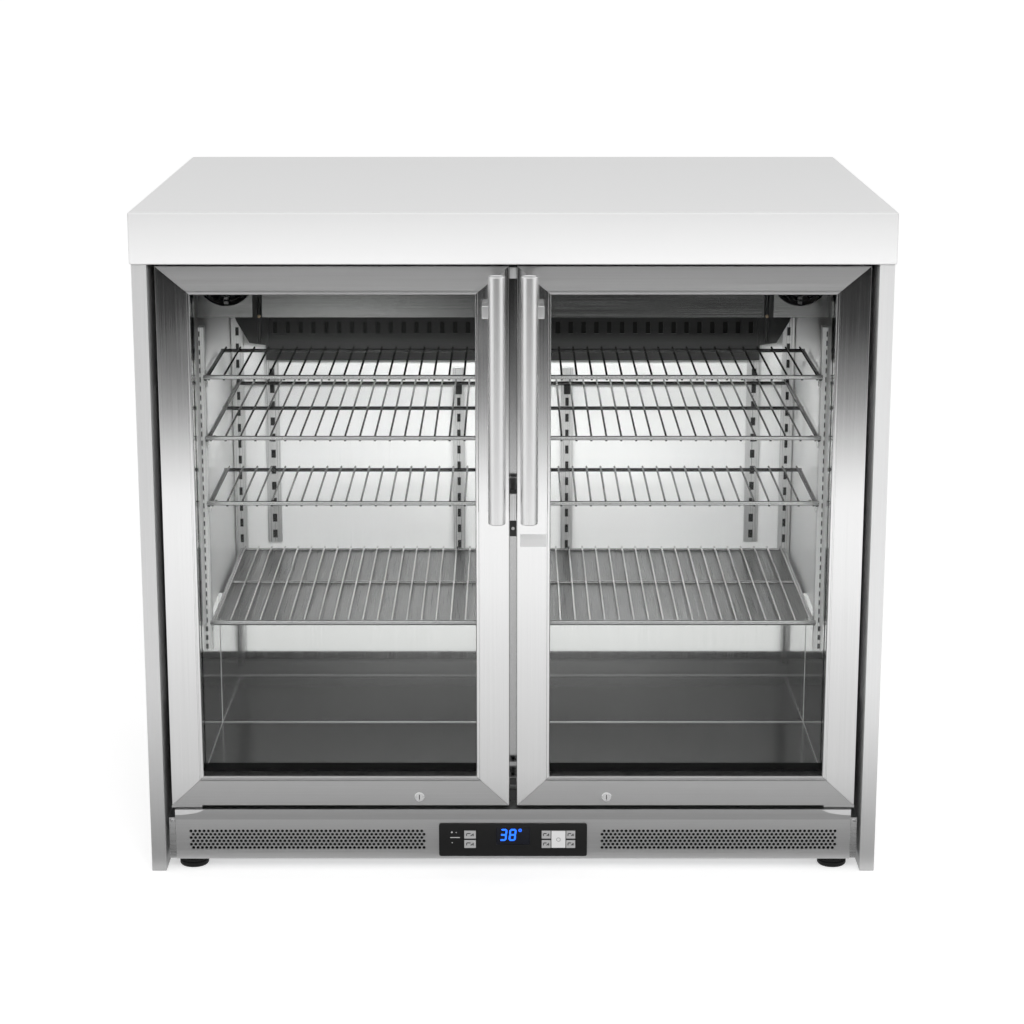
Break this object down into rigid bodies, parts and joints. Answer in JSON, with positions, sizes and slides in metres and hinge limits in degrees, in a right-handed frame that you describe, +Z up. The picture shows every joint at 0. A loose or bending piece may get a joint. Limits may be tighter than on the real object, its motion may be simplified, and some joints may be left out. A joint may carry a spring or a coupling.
{
  "type": "undercounter refrigerator",
  "caption": "Undercounter refrigerator with glass doors, tube handles, wire shelves, a perforated kick grille and a control panel, set under a white worktop between steel side panels.",
  "frame": {"origin": "on the floor, under the centre of the box round the whole object, handles included", "axes": "+X to the right seen from the front, +Y to the back, +Z up"},
  "size_m": [1, 0.733, 0.91],
  "materials": {
    "worktop_white": "satin",
    "brushed_panel": "satin",
    "cabinet_steel": "satin",
    "foam": "matte",
    "liner_steel": "satin",
    "frame_steel": "satin",
    "pan_steel": "satin",
    "galvanised": "satin",
    "grille_steel": "satin",
    "control_black": "gloss",
    "display": "gloss",
    "white_key": "satin",
    "grey_key": "satin",
    "foot_rubber": "matte",
    "hinge_steel": "satin",
    "door_steel": "satin",
    "glass": "gloss",
    "spacer": "matte",
    "gasket_rubber": "matte",
    "handle_steel": "satin",
    "lock_chrome": "polished",
    "shelf_wire": "gloss",
    "cover_steel": "satin",
    "coil_metal": "satin",
    "fan_plastic": "satin",
    "compressor_paint": "satin"
  },
  "bodies": {
    "cabinet": {"worktop": "worktop_white", "side_panel_left": "brushed_panel", "side_panel_right": "brushed_panel", "cabinet_shell": "cabinet_steel", "insulation": "foam", "liner": "liner_steel", "face_frame": "frame_steel", "floor_pan": "pan_steel", "base_chassis": "galvanised", "kick_grille": "grille_steel", "control_panel": "control_black", "display_window": "display", "hinge_bracket_left": "hinge_steel", "hinge_bracket_right": "hinge_steel", "pilaster_side_left": "liner_steel", "pilaster_side_right": "liner_steel", "pilaster_corner_left": "liner_steel", "pilaster_corner_right": "liner_steel", "pilaster_centre_left": "liner_steel", "pilaster_centre_right": "liner_steel", "shelf_1_left": "shelf_wire", "shelf_1_right": "shelf_wire", "shelf_2_left": "shelf_wire", "shelf_2_right": "shelf_wire", "shelf_3_left": "shelf_wire", "shelf_3_right": "shelf_wire", "shelf_4_left": "shelf_wire", "shelf_4_right": "shelf_wire", "evaporator_cover": "cover_steel", "evaporator_coil": "coil_metal", "compressor": "compressor_paint", "condenser": "coil_metal"},
    "door_left": {"door_frame_left": "door_steel", "glass_outer_left": "glass", "glass_inner_left": "glass", "glass_spacer_left": "spacer", "gasket_left": "gasket_rubber", "handle_left": "handle_steel"},
    "door_right": {"door_frame_right": "door_steel", "glass_outer_right": "glass", "glass_inner_right": "glass", "glass_spacer_right": "spacer", "gasket_right": "gasket_rubber", "handle_right": "handle_steel"},
    "lock_left": {"lock_barrel_left": "lock_chrome"},
    "lock_right": {"lock_barrel_right": "lock_chrome"},
    "key_power": {"button_power": "white_key"},
    "key_left_upper": {"button_left_upper": "grey_key"},
    "key_left_lower": {"button_left_lower": "grey_key"},
    "key_right_upper_inner": {"button_right_upper_inner": "grey_key"},
    "key_right_upper_outer": {"button_right_upper_outer": "grey_key"},
    "key_right_lower_inner": {"button_right_lower_inner": "grey_key"},
    "key_right_lower_outer": {"button_right_lower_outer": "grey_key"},
    "fan_left": {"evaporator_fan_left": "fan_plastic"},
    "fan_right": {"evaporator_fan_right": "fan_plastic"},
    "fan_condenser": {"condenser_fan": "fan_plastic"},
    "foot_fl": {"foot_front_left": "foot_rubber"},
    "foot_fr": {"foot_front_right": "foot_rubber"},
    "foot_rl": {"foot_rear_left": "foot_rubber"},
    "foot_rr": {"foot_rear_right": "foot_rubber"}
  },
  "joints": [
    {"name": "door_left_hinge", "type": "hinge", "parent": "cabinet", "child": "door_left", "pos_m": [-0.4577, -0.3095, 0.0925], "axis": [0, 0, -1], "range_deg": [0, 105]},
    {"name": "door_right_hinge", "type": "hinge", "parent": "cabinet", "child": "door_right", "pos_m": [0.4577, -0.3095, 0.0925], "axis": [0, 0, 1], "range_deg": [0, 105]},
    {"name": "lock_left_turn", "type": "hinge", "parent": "door_left", "child": "lock_left", "pos_m": [-0.1285, -0.323, 0.105], "axis": [0, 1, 0], "range_deg": [0, 90]},
    {"name": "lock_right_turn", "type": "hinge", "parent": "door_right", "child": "lock_right", "pos_m": [0.1285, -0.323, 0.105], "axis": [0, 1, 0], "range_deg": [0, 90]},
    {"name": "press_power", "type": "slide", "parent": "cabinet", "child": "key_power", "axis": [0, 1, 0], "range_m": [0, 0.001], "stiffness_N_per_m": 1500},
    {"name": "press_left_upper", "type": "slide", "parent": "cabinet", "child": "key_left_upper", "axis": [0, 1, 0], "range_m": [0, 0.001], "stiffness_N_per_m": 1500},
    {"name": "press_left_lower", "type": "slide", "parent": "cabinet", "child": "key_left_lower", "axis": [0, 1, 0], "range_m": [0, 0.001], "stiffness_N_per_m": 1500},
    {"name": "press_right_upper_inner", "type": "slide", "parent": "cabinet", "child": "key_right_upper_inner", "axis": [0, 1, 0], "range_m": [0, 0.001], "stiffness_N_per_m": 1500},
    {"name": "press_right_upper_outer", "type": "slide", "parent": "cabinet", "child": "key_right_upper_outer", "axis": [0, 1, 0], "range_m": [0, 0.001], "stiffness_N_per_m": 1500},
    {"name": "press_right_lower_inner", "type": "slide", "parent": "cabinet", "child": "key_right_lower_inner", "axis": [0, 1, 0], "range_m": [0, 0.001], "stiffness_N_per_m": 1500},
    {"name": "press_right_lower_outer", "type": "slide", "parent": "cabinet", "child": "key_right_lower_outer", "axis": [0, 1, 0], "range_m": [0, 0.001], "stiffness_N_per_m": 1500},
    {"name": "fan_left_spin", "type": "hinge", "parent": "cabinet", "child": "fan_left", "pos_m": [-0.39, -0.1921, 0.804], "axis": [0, 1, 0], "continuous": true},
    {"name": "fan_right_spin", "type": "hinge", "parent": "cabinet", "child": "fan_right", "pos_m": [0.39, -0.1921, 0.804], "axis": [0, 1, 0], "continuous": true},
    {"name": "fan_condenser_spin", "type": "hinge", "parent": "cabinet", "child": "fan_condenser", "pos_m": [-0.29, -0.1845, 0.0545], "axis": [0, 1, 0], "continuous": true},
    {"name": "foot_front_left_turn", "type": "hinge", "parent": "cabinet", "child": "foot_fl", "pos_m": [-0.443, -0.2975, 0], "axis": [0, 0, 1], "continuous": true},
    {"name": "foot_front_right_turn", "type": "hinge", "parent": "cabinet", "child": "foot_fr", "pos_m": [0.443, -0.2975, 0], "axis": [0, 0, 1], "continuous": true},
    {"name": "foot_rear_left_turn", "type": "hinge", "parent": "cabinet", "child": "foot_rl", "pos_m": [-0.443, 0.2255, 0], "axis": [0, 0, 1], "continuous": true},
    {"name": "foot_rear_right_turn", "type": "hinge", "parent": "cabinet", "child": "foot_rr", "pos_m": [0.443, 0.2255, 0], "axis": [0, 0, 1], "continuous": true}
  ]
}
